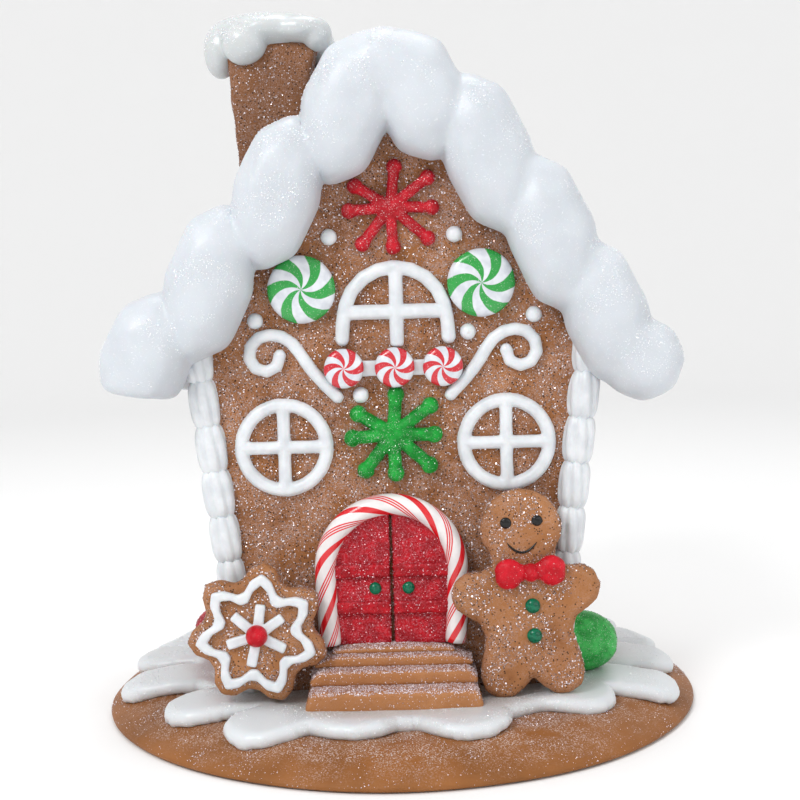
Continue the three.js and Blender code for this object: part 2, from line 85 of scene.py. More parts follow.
def softened_mesh(name, solid, voxel, rounds, swell=0.0):
    """A solid as one hand-formed surface: remeshed in voxels, smoothed, and swollen by a little
    to make up for what the smoothing takes away."""
    work = bpy.data.objects.new(name + "_work", solid.copy())
    bpy.context.scene.collection.objects.link(work)
    weld = work.modifiers.new("weld", "WELD")
    weld.merge_threshold = 1e-6
    remesh = work.modifiers.new("remesh", "REMESH")
    remesh.mode = "VOXEL"
    remesh.voxel_size = voxel
    smooth = work.modifiers.new("smooth", "SMOOTH")
    smooth.iterations = rounds
    smooth.factor = 0.5
    graph = bpy.context.evaluated_depsgraph_get()
    mesh = bpy.data.meshes.new_from_object(work.evaluated_get(graph))
    mesh.name = name
    bpy.data.objects.remove(work)
    if swell:
        set_positions(mesh, positions(mesh) + normals(mesh) * swell)
    return mesh


def blobs_mesh(name, blobs, detail=3):
    """Overlapping ellipsoids in one mesh. Each blob is (x, y, z, rx, ry, rz) in millimetres."""
    bm = bmesh.new()
    for x, y, z, rx, ry, rz in blobs:
        size = Matrix.Diagonal((rx * MM, ry * MM, rz * MM, 1))
        place = Matrix.Translation((x * MM, y * MM, z * MM)) @ size
        bmesh.ops.create_icosphere(bm, subdivisions=detail, radius=1, matrix=place)
    mesh = bpy.data.meshes.new(name)
    bm.to_mesh(mesh)
    bm.free()
    return mesh


def vertex_values(mesh, field):
    out = np.empty(len(mesh.vertices) * 3, np.float64)
    mesh.vertices.foreach_get(field, out)
    return out.reshape(-1, 3)


def positions(mesh):
    return vertex_values(mesh, "co")


def normals(mesh):
    return vertex_values(mesh, "normal")


def set_positions(mesh, co):
    mesh.vertices.foreach_set("co", np.ascontiguousarray(co, np.float32).ravel())
    mesh.update()


def noise_values(co, size, seed=0.0):
    """Smooth noise from -1 to 1 at each point, with lumps of about the given size."""
    shift = Vector((seed * 3.1, seed * 1.7, seed * 2.3))
    return np.array([noise.noise(Vector(p) / size + shift) for p in co])


def roughen(mesh, *layers):
    """Moves the surface along its normal by layers of noise, each (height, size, seed)."""
    co = positions(mesh)
    lift = np.zeros(len(co))
    for height, size, seed in layers:
        lift += height * noise_values(co, size, seed)
    set_positions(mesh, co + normals(mesh) * lift[:, None])


def ring_faces(rings, sides, first=0):
    """Faces that join each ring of points to the next; first is the first ring's first point."""
    faces = []
    for ring in range(rings - 1):
        near, far = first + ring * sides, first + (ring + 1) * sides
        for i in range(sides):
            j = (i + 1) % sides
            faces.append((near + i, near + j, far + j, far + i))
    return faces


def rod_faces(rings, sides):
    """A tube's faces with an end face at each end."""
    last = (rings - 1) * sides
    return ring_faces(rings, sides) + [tuple(range(sides)), tuple(last + i for i in range(sides))]


def lathe_mesh(name, profile, steps, axis="-Y"):
    """A turned solid. Profile holds (radius, height) pairs, and height runs along axis."""
    points = []
    for radius, height in profile:
        for i in range(steps):
            a = 2 * math.pi * i / steps
            points.append(turned(radius * math.cos(a), radius * math.sin(a), height, axis))
    return weld_and_orient(mesh_from(name, points, ring_faces(len(profile), steps)))


def turned(u, v, h, axis):
    """A point at (u, v) across the axis and h along it."""
    if axis == "-Y":
        return (u, -h, v)
    if axis == "+X":
        return (h, u, v)
    if axis == "-X":
        return (-h, -u, v)
    return (u, v, h)


def weld_and_orient(mesh):
    bm = bmesh.new()
    bm.from_mesh(mesh)
    bmesh.ops.remove_doubles(bm, verts=bm.verts, dist=1e-6)
    bmesh.ops.dissolve_degenerate(bm, edges=bm.edges, dist=1e-7)
    bmesh.ops.recalc_face_normals(bm, faces=bm.faces)
    bm.to_mesh(mesh)
    bm.free()
    return mesh


def centre_of(name):
    low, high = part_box(name)
    return (low + high) / 2


# ---- material helpers ----
def linear(red, green, blue):
    """An sRGB colour, 0 to 255 each, as the linear colour that shaders use."""
    def one(c):
        c /= 255
        return c / 12.92 if c <= 0.04045 else ((c + 0.055) / 1.055) ** 2.4
    return (one(red), one(green), one(blue), 1)


class Shade:
    """A material with a few short calls for the nodes that these materials share."""

    def __init__(self, name, **values):
        self.material = bpy.data.materials.new(name)
        self.material.use_nodes = True
        self.tree = self.material.node_tree
        self.bsdf = self.tree.nodes["Principled BSDF"]
        self.coords = self.node("ShaderNodeTexCoord").outputs["Object"]
        for key, value in values.items():
            self.bsdf.inputs[key.replace("_", " ")].default_value = value

    def node(self, kind, inputs=None, **settings):
        made = self.tree.nodes.new(kind)
        for key, value in settings.items():
            setattr(made, key, value)
        for key, value in (inputs or {}).items():
            if isinstance(value, bpy.types.NodeSocket):
                self.tree.links.new(value, made.inputs[key])
            else:
                made.inputs[key].default_value = value
        return made

    def noise(self, size, detail=2.0, rough=0.5):
        """Noise with lumps of about the given size in metres."""
        return self.node("ShaderNodeTexNoise", {
            "Vector": self.coords, "Scale": 1 / size, "Detail": detail, "Roughness": rough}).outputs["Fac"]

    def cells(self, size):
        """Distance to the nearest of many scattered points about size apart."""
        return self.node("ShaderNodeTexVoronoi", {
            "Vector": self.coords, "Scale": 1 / size}).outputs["Distance"]

    def math(self, operation, a, b=0.0, clamp=False):
        return self.node("ShaderNodeMath", {0: a, 1: b}, operation=operation, use_clamp=clamp).outputs[0]

    def step(self, value, low, high):
        """0 below low, 1 above high, smooth between. A low above high turns it round."""
        return self.node("ShaderNodeMapRange", {
            "Value": value, "From Min": low, "From Max": high}, interpolation_type="SMOOTHSTEP").outputs[0]

    def mix(self, factor, a, b):
        made = self.node("ShaderNodeMix", {}, data_type="RGBA")
        for index, value in ((0, factor), (6, a), (7, b)):
            if isinstance(value, bpy.types.NodeSocket):
                self.tree.links.new(value, made.inputs[index])
            else:
                made.inputs[index].default_value = value
        return made.outputs[2]

    def split(self, vector):
        return self.node("ShaderNodeSeparateXYZ", {0: vector}).outputs

    def radius(self):
        """Distance from the figurine's upright axis."""
        parts = self.split(self.coords)
        x2 = self.math("MULTIPLY", parts[0], parts[0])
        y2 = self.math("MULTIPLY", parts[1], parts[1])
        return self.math("SQRT", self.math("ADD", x2, y2))

    def bump(self, height, strength, distance, below=None):
        inputs = {"Height": height, "Strength": strength, "Distance": distance}
        if below is not None:
            inputs["Normal"] = below
        return self.node("ShaderNodeBump", inputs).outputs[0]

    def done(self, colour, normal=None):
        """The finished material; colour is one value or a socket."""
        for value, name in ((colour, "Base Color"), (normal, "Normal")):
            if isinstance(value, bpy.types.NodeSocket):
                self.tree.links.new(value, self.bsdf.inputs[name])
            elif value is not None:
                self.bsdf.inputs[name].default_value = value
        return self.material


# ---- materials ----
DARK_BROWN = linear(116, 72, 42)
MID_BROWN = linear(148, 96, 56)
LIGHT_BROWN = linear(170, 113, 66)
MAUVE = linear(178, 156, 150)
# near-black spots painted on the gingerbread: painted dark reflections of glitter flakes that mirror dark
# surroundings
PAINTED_DARK_REFLECTION = linear(46, 28, 24)


def gingerbread(name, dust, dark_reflection, tones=(DARK_BROWN, MID_BROWN, LIGHT_BROWN)):
    """Brown clay under fine silver-mauve glitter. Dust is how thick the glitter lies, and dark_reflection
    is
    how dark the small spots are: painted dark reflections of glitter flakes that mirror dark surroundings."""
    s = Shade(name, Roughness=0.6, Specular_IOR_Level=0.2)
    patches = s.noise(0.018, 4.0, 0.6)
    brown = s.mix(s.step(patches, 0.24, 0.5), tones[0], tones[1])
    brown = s.mix(s.step(patches, 0.5, 0.75), brown, tones[2])
    grain = s.noise(0.0005, 3.0, 0.75)
    spread = s.noise(0.009, 3.0, 0.6)
    coat = s.math("MULTIPLY", s.step(grain, 0.46, 0.6), s.step(spread, 0.32, 0.6))
    colour = s.mix(s.math("MULTIPLY", coat, dust), brown, MAUVE)
    # painted dark reflections: small dark spots that stand for glitter flakes mirroring dark surroundings
    dark_reflection_spots = s.math("MULTIPLY", s.step(s.cells(0.00115), 0.31, 0.2), s.step(s.noise(0.0025, 1.0), 0.43, 0.5))
    colour = s.mix(s.math("MULTIPLY", dark_reflection_spots, dark_reflection), colour, PAINTED_DARK_REFLECTION)
    coarse = s.bump(s.noise(0.0045, 3.0), 0.5, 0.0006)
    return s.done(colour, s.bump(grain, 0.6, 0.00025, coarse))


def base_brown():
    """Smooth caramel clay with dust that thins out towards the rim."""
    s = Shade("base_brown", Roughness=0.5, Specular_IOR_Level=0.2)
    patches = s.noise(0.03, 3.0, 0.55)
    colour = s.mix(s.step(patches, 0.3, 0.7), linear(128, 80, 39), linear(148, 95, 51))
    grain = s.noise(0.0006, 3.0, 0.75)
    near = s.step(s.math("ADD", s.radius(), s.math("MULTIPLY", s.noise(0.012, 3.0), 0.024)),
                  BASE_RADIUS + 0.013, BASE_RADIUS - 0.009)
    coat = s.math("MULTIPLY", s.step(grain, 0.5, 0.62), near)
    coat = s.math("MULTIPLY", coat, s.step(s.noise(0.007, 3.0), 0.3, 0.6))
    colour = s.mix(coat, colour, linear(206, 188, 180))
    return s.done(colour, s.bump(s.noise(0.003, 3.0), 0.3, 0.0005, s.bump(grain, 0.3, 0.0002)))


def snow(name, colour=(201, 206, 212), roughness=0.4):
    """Soft white with a few brighter grains."""
    s = Shade(name, Roughness=roughness, Subsurface_Weight=0.15, Subsurface_Scale=0.002)
    soft = s.noise(0.016, 3.0, 0.5)
    tone = s.mix(s.step(soft, 0.3, 0.7), linear(*(c - 8 for c in colour)), linear(*colour))
    grains = s.step(s.noise(0.0007, 2.0, 0.8), 0.6, 0.72)
    tone = s.mix(s.math("MULTIPLY", grains, 0.4), tone, linear(246, 247, 250))
    fine = s.bump(s.noise(0.0008, 2.0, 0.7), 0.35, 0.00015)
    return s.done(tone, s.bump(s.noise(0.005, 3.0), 0.3, 0.0006, fine))


def icing_sheet_white():
    """White at the rim and dusted mauve-grey where it was sprinkled, near the house."""
    s = Shade("icing_sheet_white", Roughness=0.32, Subsurface_Weight=0.1, Subsurface_Scale=0.002)
    grain = s.noise(0.0007, 3.0, 0.7)
    wavering = s.math("ADD", s.radius(), s.math("MULTIPLY", s.noise(0.02, 3.0), 0.03))
    near = s.step(wavering, 0.102, 0.074)
    coat = s.math("MULTIPLY", s.math("ADD", s.math("MULTIPLY", s.step(grain, 0.4, 0.6), 0.6), 0.3), near)
    colour = s.mix(coat, linear(212, 216, 219), linear(152, 140, 132))
    return s.done(colour, s.bump(grain, 0.3, 0.0002))


def white_icing():
    s = Shade("white_icing", Roughness=0.36, Subsurface_Weight=0.1, Subsurface_Scale=0.001)
    soft = s.noise(0.006, 3.0)
    colour = s.mix(s.step(soft, 0.3, 0.7), linear(205, 209, 213), linear(222, 225, 228))
    return s.done(colour, s.bump(s.noise(0.0022, 2.0), 0.2, 0.0003))


def coloured_clay(name, dark, light, sugar=0.35, roughness=0.4, white=(238, 226, 228)):
    """Coloured clay under a little white sugar or glitter."""
    s = Shade(name, Roughness=roughness, Specular_IOR_Level=0.2)
    colour = s.mix(s.step(s.noise(0.004, 3.0), 0.35, 0.68), linear(*dark), linear(*light))
    grain = s.noise(0.0006, 3.0, 0.75)
    spread = s.step(s.noise(0.005, 2.0), 0.35, 0.7)
    colour = s.mix(s.math("MULTIPLY", s.math("MULTIPLY", s.step(grain, 0.54, 0.66), spread), sugar),
                   colour, linear(*white))
    return s.done(colour, s.bump(grain, 0.5, 0.00025))


def sugared_door():
    """Red clay under coarse pale sugar, which has come off the two raised ledges."""
    s = Shade("red_sugar", Roughness=0.38, Specular_IOR_Level=0.2)
    colour = s.mix(s.step(s.noise(0.004, 3.0), 0.35, 0.68), linear(150, 8, 22), linear(190, 16, 32))
    grain = s.noise(0.0008, 3.0, 0.8)
    height = s.split(s.coords)[2]
    sugar = s.step(grain, 0.47, 0.6)
    for ledge in DOOR_LEDGES:
        away = s.math("ABSOLUTE", s.math("SUBTRACT", height, ledge - 0.0004))
        sugar = s.math("MULTIPLY", sugar, s.math("ADD", s.step(away, 0.0014, 0.0026), 0.25, True))
    colour = s.mix(s.math("MULTIPLY", sugar, 0.26), colour, linear(224, 132, 146))
    return s.done(colour, s.bump(grain, 0.9, 0.0004))


def swirl(name, tint, blades, twist):
    """A starlight mint: coloured blades that swirl round the sweet's own axis, which faces -Y."""
    s = Shade(name, Roughness=0.22, Coat_Weight=0.4, Coat_Roughness=0.15)
    parts = s.split(s.coords)
    angle = s.math("ARCTAN2", parts[2], parts[0])
    x2 = s.math("MULTIPLY", parts[0], parts[0])
    z2 = s.math("MULTIPLY", parts[2], parts[2])
    reach = s.math("SQRT", s.math("ADD", x2, z2))
    turn = s.math("ADD", angle, s.math("MULTIPLY", reach, twist))
    wave = s.math("SINE", s.math("MULTIPLY", turn, float(blades)))
    wave = s.math("ADD", wave, s.math("MULTIPLY", s.math("SUBTRACT", s.noise(0.003, 2.0), 0.5), 0.5))
    white = s.mix(s.step(s.noise(0.004, 2.0), 0.3, 0.7), linear(198, 202, 210), linear(222, 225, 230))
    colour = s.mix(s.step(wave, -0.12, 0.12), white, linear(*tint))
    frost = s.step(s.noise(0.0006, 2.0, 0.8), 0.6, 0.7)
    colour = s.mix(s.math("MULTIPLY", frost, 0.35), colour, linear(240, 240, 240))
    return s.done(colour, s.bump(s.noise(0.001, 2.0), 0.25, 0.0002))


def cane_stripes():
    """Spiral stripes from the rod attribute: cosine and sine round the rod, and turns along it."""
    s = Shade("cane_stripes", Roughness=0.24, Coat_Weight=0.4, Coat_Roughness=0.12)
    rod = s.node("ShaderNodeAttribute", attribute_name="rod").outputs["Vector"]
    parts = s.split(rod)
    around = s.math("DIVIDE", s.math("ARCTAN2", parts[1], parts[0]), 2 * math.pi)
    turn = s.math("FRACT", s.math("ADD", s.math("ADD", around, parts[2]), 20.0))
    red = linear(214, 22, 34)
    colour = s.mix(s.step(s.noise(0.006, 2.0), 0.3, 0.7), linear(222, 216, 216), linear(236, 232, 231))
    # two broad stripes a turn (0 and 1 are the same one), and three fine ones in each gap
    broad, fine, apart = 0.052, 0.012, 0.04
    for middle in (0.0, 1.0, 0.5):
        colour = s.mix(stripe(s, turn, middle, broad), colour, red)
    for group in (0.25, 0.75):
        for offset in (-apart, 0.0, apart):
            colour = s.mix(stripe(s, turn, group + offset, fine), colour, red)
    return s.done(colour, s.bump(s.noise(0.0009, 2.0), 0.2, 0.0002))


def stripe(s, turn, middle, half):
    """1 inside a stripe and 0 outside it; half is half its width in turns."""
    away = s.math("ABSOLUTE", s.math("SUBTRACT", turn, middle))
    return s.step(away, half + 0.006, half - 0.006)


def enamel(name, colour):
    s = Shade(name, Roughness=0.18, Specular_IOR_Level=0.3, Coat_Weight=0.1, Coat_Roughness=0.1)
    dark = linear(*(c * 0.75 for c in colour))
    tone = s.mix(s.step(s.noise(0.0015, 2.0), 0.35, 0.7), linear(*colour), dark)
    return s.done(tone, s.bump(s.noise(0.0008, 2.0), 0.15, 0.0002))


def glitter(name, dull, glint_and_pale, share=0.3, roughness=0.25, metallic=0.3):
    """Loose flakes: each has its own tone, and a share of them are coloured near white as painted glints,
    which on the sugars are partly real pale grains.
    """
    s = Shade(name, Roughness=roughness, Metallic=metallic)
    each = s.node("ShaderNodeNewGeometry").outputs["Random Per Island"]
    # the near-white share is painted glint: flakes coloured as though they caught the light
    return s.done(s.mix(s.step(each, 1 - 2 * share, 1.0), linear(*dull), linear(*glint_and_pale)))


# the last number of each is how dark the painted dark reflections of the glitter flakes are
BROWN_WALL = gingerbread("gingerbread_wall", 0.7, 0.9)
BROWN_FIGURE = gingerbread("gingerbread_figure", 0.36, 0.85,
                           (linear(132, 84, 50), linear(160, 107, 65), linear(178, 122, 76)))
BROWN_STEP = gingerbread("gingerbread_step", 0.12, 0.1,
                         (linear(158, 103, 62), linear(172, 116, 72), linear(184, 127, 80)))
BROWN_CHIMNEY = gingerbread("gingerbread_chimney", 0.3, 0.9,
                            (linear(98, 60, 36), linear(120, 77, 46), linear(138, 90, 54)))
BASE_BROWN = base_brown()
SNOW = snow("snow_white")
CAP_SNOW = snow("cap_white", (200, 204, 205), 0.26)
SHEET_WHITE = icing_sheet_white()
WHITE = white_icing()
RED = coloured_clay("red_clay", (160, 16, 28), (192, 24, 40))
PLAIN_RED = coloured_clay("red_enamel_clay", (176, 12, 28), (204, 22, 40), 0.08, 0.34)
GREEN = coloured_clay("green_clay", (8, 122, 38), (26, 156, 56), 0.25)
RED_SUGAR = sugared_door()
GREEN_GUM = coloured_clay("green_gumdrop", (36, 144, 58), (66, 182, 86), 0.4, 0.4, (190, 226, 196))
RED_GUM = coloured_clay("red_gumdrop", (150, 16, 34), (184, 28, 46), 0.5, 0.4, (230, 190, 196))
GREEN_MINT = swirl("green_mint", (34, 150, 60), 6, -80.0)
RED_MINT = swirl("red_mint", (196, 30, 44), 6, -132.0)
CANE = cane_stripes()
TEAL = enamel("teal_enamel", (2, 108, 76))
BLACK = enamel("black_enamel", (26, 24, 24))
# the second colour of each is the painted glint of its near-white share, which on the sugars is partly real
# pale grains
FLAKE = glitter("silver_flakes", (150, 122, 112), (255, 246, 250), 0.4, 0.2)
SUGAR = glitter("lilac_sugar", (196, 176, 180), (255, 246, 250), 0.45, 0.25, 0.1)
SNOW_FLAKE = glitter("snow_flakes", (240, 243, 248), (255, 255, 255), 0.5, 0.15, 0.1)
CRYSTAL = glitter("sugar_crystals", (176, 16, 32), (255, 206, 216), 0.26, 0.2, 0.1)
RED_GLINT = glitter("red_glints", (190, 40, 54), (255, 240, 240), 0.3, 0.2, 0.4)
GREEN_GLINT = glitter("green_glints", (70, 160, 90), (240, 255, 242), 0.3, 0.2, 0.4)


# ---- pieces carried over from the CAD solids ----
def soft(name, source, material, slot, voxel, rounds, swell, *layers):
    """A hand-formed copy of one CAD solid. Sizes are in millimetres; layers are (height, size, seed)."""
    mesh = softened_mesh(name, nodes[source].data, voxel * MM, rounds, swell * MM)
    if layers:
        roughen(mesh, *[(height * MM, size * MM, seed) for height, size, seed in layers])
    piece(name, mesh, material, [source])


soft("house_walls", "house", BROWN_WALL, "gingerbread", 1.2, 5, 0.1, (0.6, 14, 1), (0.12, 1.6, 2))
for side in SIDES:
    soft("roof_board_" + side, "roof_panel_" + side, BROWN_CHIMNEY, "gingerbread", 1.2, 4, 0, (0.3, 8, 3))
soft("roof_snow_layer", "roof_snow", SNOW, "snow_icing", 1.5, 10, 0.3, (1.6, 22, 4), (0.2, 4, 5))
soft("gable_snow_front", "roof_trim_front", SNOW, "snow_icing", 1.0, 56, 1.15,
     (0.35, 13, 6), (0.06, 2.5, 7))
soft("chimney_stack", "chimney", BROWN_CHIMNEY, "gingerbread", 0.8, 8, 0.2, (0.5, 9, 9), (0.1, 1.4, 9))
for i in range(1, 5):
    soft(f"doorstep_{i}", f"step_{i}", BROWN_STEP, "gingerbread", 0.4, 9, 0.35, (0.25, 6, 11 + i))
soft("gingerbread_man", "man", BROWN_FIGURE, "gingerbread", 0.6, 12, 0.3, (0.3, 7, 16), (0.1, 1.2, 17))
soft("star_cookie", "cookie", BROWN_FIGURE, "gingerbread", 0.6, 10, 0.3, (0.3, 6, 18), (0.1, 1.2, 19))
soft("cookie_star", "cookie_icing_star", WHITE, "white_icing", 0.33, 24, 0.3, (0.12, 3, 21))
soft("cookie_spokes", "cookie_icing_spokes", WHITE, "white_icing", 0.33, 14, 0.26, (0.12, 3, 22))
soft("window_arch", "arch_window", WHITE, "white_icing", 0.4, 22, 0.6, (0.12, 4, 23))
soft("sill_line", "window_sill", WHITE, "white_icing", 0.4, 5, 0.1, (0.12, 4, 24))
for side in SIDES:
    soft("window_round_" + side, "round_window_" + side, WHITE, "white_icing", 0.4, 15, 0.38, (0.12, 4, 27))
    soft("scroll_line_" + side, "scroll_" + side, WHITE, "white_icing", 0.4, 24, 0.45, (0.12, 4, 28))
    soft("door_panel_" + side, "door_leaf_" + side, RED_SUGAR, "red_sugar", 0.35, 3, 0.3,
         (0.2, 2, 29), (0.12, 0.8, 30))


def make_back_gable_snow():
    """The back edging is the front one turned half round, with lumps of its own."""
    mesh = shown["gable_snow_front"].data.copy()
    co = positions(mesh)
    co[:, :2] *= -1
    set_positions(mesh, co)
    roughen(mesh, (0.0006, 0.02, 8))
    piece("gable_snow_back", mesh, SNOW, ["roof_trim_back"])


make_back_gable_snow()


def round_off_ring(name, source, sides=16):
    """Turns the CAD ring's straight chords back into one circle, and leaves the cross inside it."""
    middle = centre_of(source)
    low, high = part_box(source)
    outer = (high.x - low.x) / 2
    mesh = shown[name].data
    co = positions(mesh)
    x, z = co[:, 0] - middle.x, co[:, 2] - middle.z
    from_chord = np.mod(np.arctan2(z, x), 2 * math.pi / sides) - math.pi / sides
    share = np.clip((np.hypot(x, z) / outer - 0.6) / 0.15, 0, 1)
    grow = 1 + share * (np.cos(from_chord) / math.cos(math.pi / sides) - 1)
    co[:, 0] = middle.x + x * grow
    co[:, 2] = middle.z + z * grow
    set_positions(mesh, co)


for side in SIDES:
    round_off_ring("window_round_" + side, "round_window_" + side)


def arm_tips(source, middle):
    """The direction and the reach, in millimetres, of each arm of a CAD star."""
    co = positions(nodes[source].data)
    x, z = (co[:, 0] - middle.x) / MM, (co[:, 2] - middle.z) / MM
    reach, angle = np.hypot(x, z), np.arctan2(z, x)
    far = reach > 0.8 * reach.max()
    order = np.argsort(angle[far])
    angles, reaches = angle[far][order], reach[far][order]
    # points more than this angle apart are on different arms
    apart = 0.2
    tips = [[(angles[0], reaches[0])]]
    for a, r in zip(angles[1:], reaches[1:]):
        if a - tips[-1][-1][0] > apart:
            tips.append([])
        tips[-1].append((a, r))
    if angles[0] + 2 * math.pi - tips[-1][-1][0] < apart:
        tips[0] += [(a - 2 * math.pi, r) for a, r in tips.pop()]
    return [(sum(a for a, r in tip) / len(tip), max(r for a, r in tip)) for tip in tips]


def make_frost_star(name, source, material, ball, arm, seed):
    """Eight hand-piped arms with a ball on each end, run out to the tips of the CAD star."""
    low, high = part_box(source)
    middle = (low + high) / 2
    y = high.y / MM - arm * 0.6
    count = 18
    blobs = []
    for way, reach in arm_tips(source, middle):
        end = reach - ball
        places = [(end * i / count, arm) for i in range(count)] + [(end, ball)]
        for out, size in places:
            x = middle.x / MM + out * math.cos(way)
            z = middle.z / MM + out * math.sin(way)
            blobs.append((x, y, z, size, size, size))
    mesh = softened_mesh(name, blobs_mesh(name + "_blobs", blobs, 2), 0.33 * MM, 5, 0.1 * MM)
    roughen(mesh, (0.00014, 0.0022, seed))
    piece(name, mesh, material, [source])


make_frost_star("frost_star_red", "snowflake_red", RED, 2.7, 1.9, 25)
make_frost_star("frost_star_green", "snowflake_green", GREEN, 3.0, 2.3, 26)


def widen_door():
    """Grows both leaves out of the middle of the doorway until they meet the cane round them."""
    low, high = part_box("door_leaf_left")[0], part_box("door_leaf_right")[1]
    middle = (low.x + high.x) / 2
    cane_low, cane_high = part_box("candy_cane_arch")
    inset = (cane_high.y - cane_low.y) * 0.85
    wider = ((cane_high.x - cane_low.x) / 2 - inset) / ((high.x - low.x) / 2)
    taller = (cane_high.z - inset - low.z) / (high.z - low.z)
    unmoved = DOOR_LEDGES[1] + 0.003
    ratio = (high.z - low.z) * (taller - 1) / (high.z - unmoved)
    for side in SIDES:
        mesh = shown["door_panel_" + side].data
        co = positions(mesh)
        co[:, 0] = middle + (co[:, 0] - middle) * wider
        co[:, 2] += np.clip(co[:, 2] - unmoved, 0, None) * ratio
        set_positions(mesh, co)


widen_door()


def make_chimney_snow():
    """A round heap of snow on the chimney whose edge hangs down in fat drips."""
    low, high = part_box("chimney_cap")
    left, right, front, back, top = low.x / MM, high.x / MM, low.y / MM, high.y / MM, high.z / MM
    middle = (left + right) / 2
    blobs = [
        (middle, (front + back) / 2, top - 7, 21.5, 20, 7),
        (left + 12, (front + back) / 2 - 3, top - 8, 10, 13, 6),
        (left + 5.6, front + 16, top - 13.4, 5.6, 9, 9.4),
        (left + 15, front + 6, top - 12.4, 7.6, 6, 7),
        (right - 11, front + 7, top - 7.6, 10, 7, 4.2),
        (right - 5.5, front + 8, top - 9.6, 5, 6.5, 5.6),
        (right - 4.6, front + 26, top - 12, 4.6, 8, 7),
        (left + 16, back - 4.5, top - 13, 6.5, 5, 8),
        (right - 12, back - 4, top - 10, 6, 4.5, 5),
    ]
    mesh = softened_mesh("chimney_snow", blobs_mesh("cap_blobs", blobs), 0.7 * MM, 20, 0.5 * MM)
    roughen(mesh, (0.0003, 0.008, 10), (0.00005, 0.002, 11))
    piece("chimney_snow", mesh, CAP_SNOW, ["chimney_cap"])


def make_bow_tie():
    """Two plump wings and a pinched knot."""
    middle = centre_of("man_bow_tie") / MM
    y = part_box("man_bow_tie")[1].y / MM
    blobs = [(middle.x, y - 3.2, middle.z, 2.9, 3.4, 3.0)]
    for way in (-1, 1):
        rise = 0.5 * way
        blobs += [
            (middle.x + way * 7.2, y - 2.6, middle.z + rise + 1.0, 4.7, 3.0, 4.1),
            (middle.x + way * 7.4, y - 2.6, middle.z + rise - 1.2, 4.4, 3.0, 3.9),
            (middle.x + way * 3.9, y - 2.4, middle.z + rise * 0.5, 3.2, 2.5, 3.1),
        ]
    mesh = softened_mesh("bow_tie", blobs_mesh("bow_blobs", blobs), 0.35 * MM, 7, 0.15 * MM)
    roughen(mesh, (0.0002, 0.0025, 20))
    piece("bow_tie", mesh, PLAIN_RED, ["man_bow_tie"])


make_chimney_snow()
make_bow_tie()


# ---- base and icing sheet ----
def make_base():
    """A low dome of dough with a thin edge and a slight lip, not quite round."""
    profile = [(0, 0), (BASE_RADIUS * 0.5, 0), (BASE_RADIUS - 0.0016, 0), (BASE_RADIUS - 0.0003, 0.0006),
               (BASE_RADIUS, 0.0014), (BASE_RADIUS - 0.0009, 0.0024), (BASE_RADIUS - 0.0024, 0.0034)]
    lip, lip_height = profile[-1]
    inner, slope_steps, top_steps = BASE_RADIUS - 0.024, 16, 8
    for i in range(1, slope_steps + 1):
        t = i / slope_steps
        rise = (BASE_TOP - lip_height) * math.sin(t * math.pi / 2)
        profile.append((lip + (inner - lip) * t, lip_height + rise))
    for i in range(1, top_steps + 1):
        profile.append((inner * (1 - i / top_steps), BASE_TOP))
    mesh = lathe_mesh("gingerbread_base", profile, 240, "+Z")
    co = positions(mesh)
    angle = np.arctan2(co[:, 1], co[:, 0])
    around = np.stack([np.cos(angle), np.sin(angle), np.zeros(len(co))], 1)
    reach = np.hypot(co[:, 0], co[:, 1]) / BASE_RADIUS
    out_of_round = 0.006
    co[:, :2] *= (1 - out_of_round * reach * (1 + noise_values(around, 0.45, 31)))[:, None]
    raised = co[:, 2] > 0.001
    co[raised, 2] += 0.0004 * noise_values(co[raised], 0.012, 32)
    set_positions(mesh, co)
    piece("gingerbread_base", mesh, BASE_BROWN, ["base"])


def make_icing_sheet():
    """Thick poured icing: its tongues are rounded above and sit down into the dough below."""
    mesh = softened_mesh("ground_snow", nodes["icing_sheet"].data, 0.9 * MM, 16, 1.5 * MM)
    co = positions(mesh)
    tongues_from, over = 0.06, 0.02
    outer = np.clip((np.hypot(co[:, 0], co[:, 1]) - tongues_from) / over, 0, 1)
    co[:, 2] += (0.0008 * noise_values(co, 0.016, 33) + 0.0006) * outer - 0.0008 * (1 - outer)
    set_positions(mesh, co)
    piece("ground_snow", mesh, SHEET_WHITE, ["icing_sheet"])


make_base()
make_icing_sheet()


# ---- corner beads ----
def bead_column(name, source):
    """Ribbed beads piped one on the other up a corner of the house, along the CAD column's own line."""
    co = positions(nodes[source].data)
    middle = co.mean(0)
    axis = np.linalg.svd(co - middle)[2][0]
    axis *= np.sign(axis[2])
    along = (co - middle) @ axis
    outward = np.array([np.sign(middle[0]), np.sign(middle[1]), 0]) / math.sqrt(2)
    set_in = 0.0012
    start = middle + axis * along.min() - outward * set_in
    beads, length, radius, overlap = 8, 0.0158, 0.0056, 0.12
    steps, rows, ribs, groove = 42, 15, 7, 0.16
    points, faces = [], []
    side_a = np.cross(axis, [0, 1, 0])
    side_a /= np.linalg.norm(side_a)
    side_b = np.cross(axis, side_a)
    for bead in range(beads):
        faces += ring_faces(rows + 1, steps, len(points))
        size = 1 + 0.05 * noise.noise(Vector((bead * 1.7, middle[0] * 90, middle[1] * 90)))
        for row in range(rows + 1):
            t = row / rows
            swell = max(0.0, 1 - abs(2 * t - 1) ** 3) ** 0.38
            for i in range(steps):
                a = 2 * math.pi * i / steps
                rib = 1 - groove * abs(math.sin(ribs * (a + 0.3 * t) / 2)) ** 8
                r = radius * size * swell * rib
                where = start + axis * length * (bead + t * (1 + 2 * overlap) - overlap)
                points.append(where + side_a * r * math.cos(a) + side_b * r * math.sin(a))
    mesh = weld_and_orient(mesh_from(name, points, faces))
    piece(name, mesh, WHITE, [source])


for side in SIDES:
    for end in ("front", "back"):
        bead_column(f"corner_beads_{end}_{side}", f"corner_piping_{end}_{side}")


# ---- sweets and studs ----
def on_wall(low, high):
    """The middle of a box's back face, where a sweet or a stud is stuck on."""
    return Vector(((low.x + high.x) / 2, high.y, (low.z + high.z) / 2))


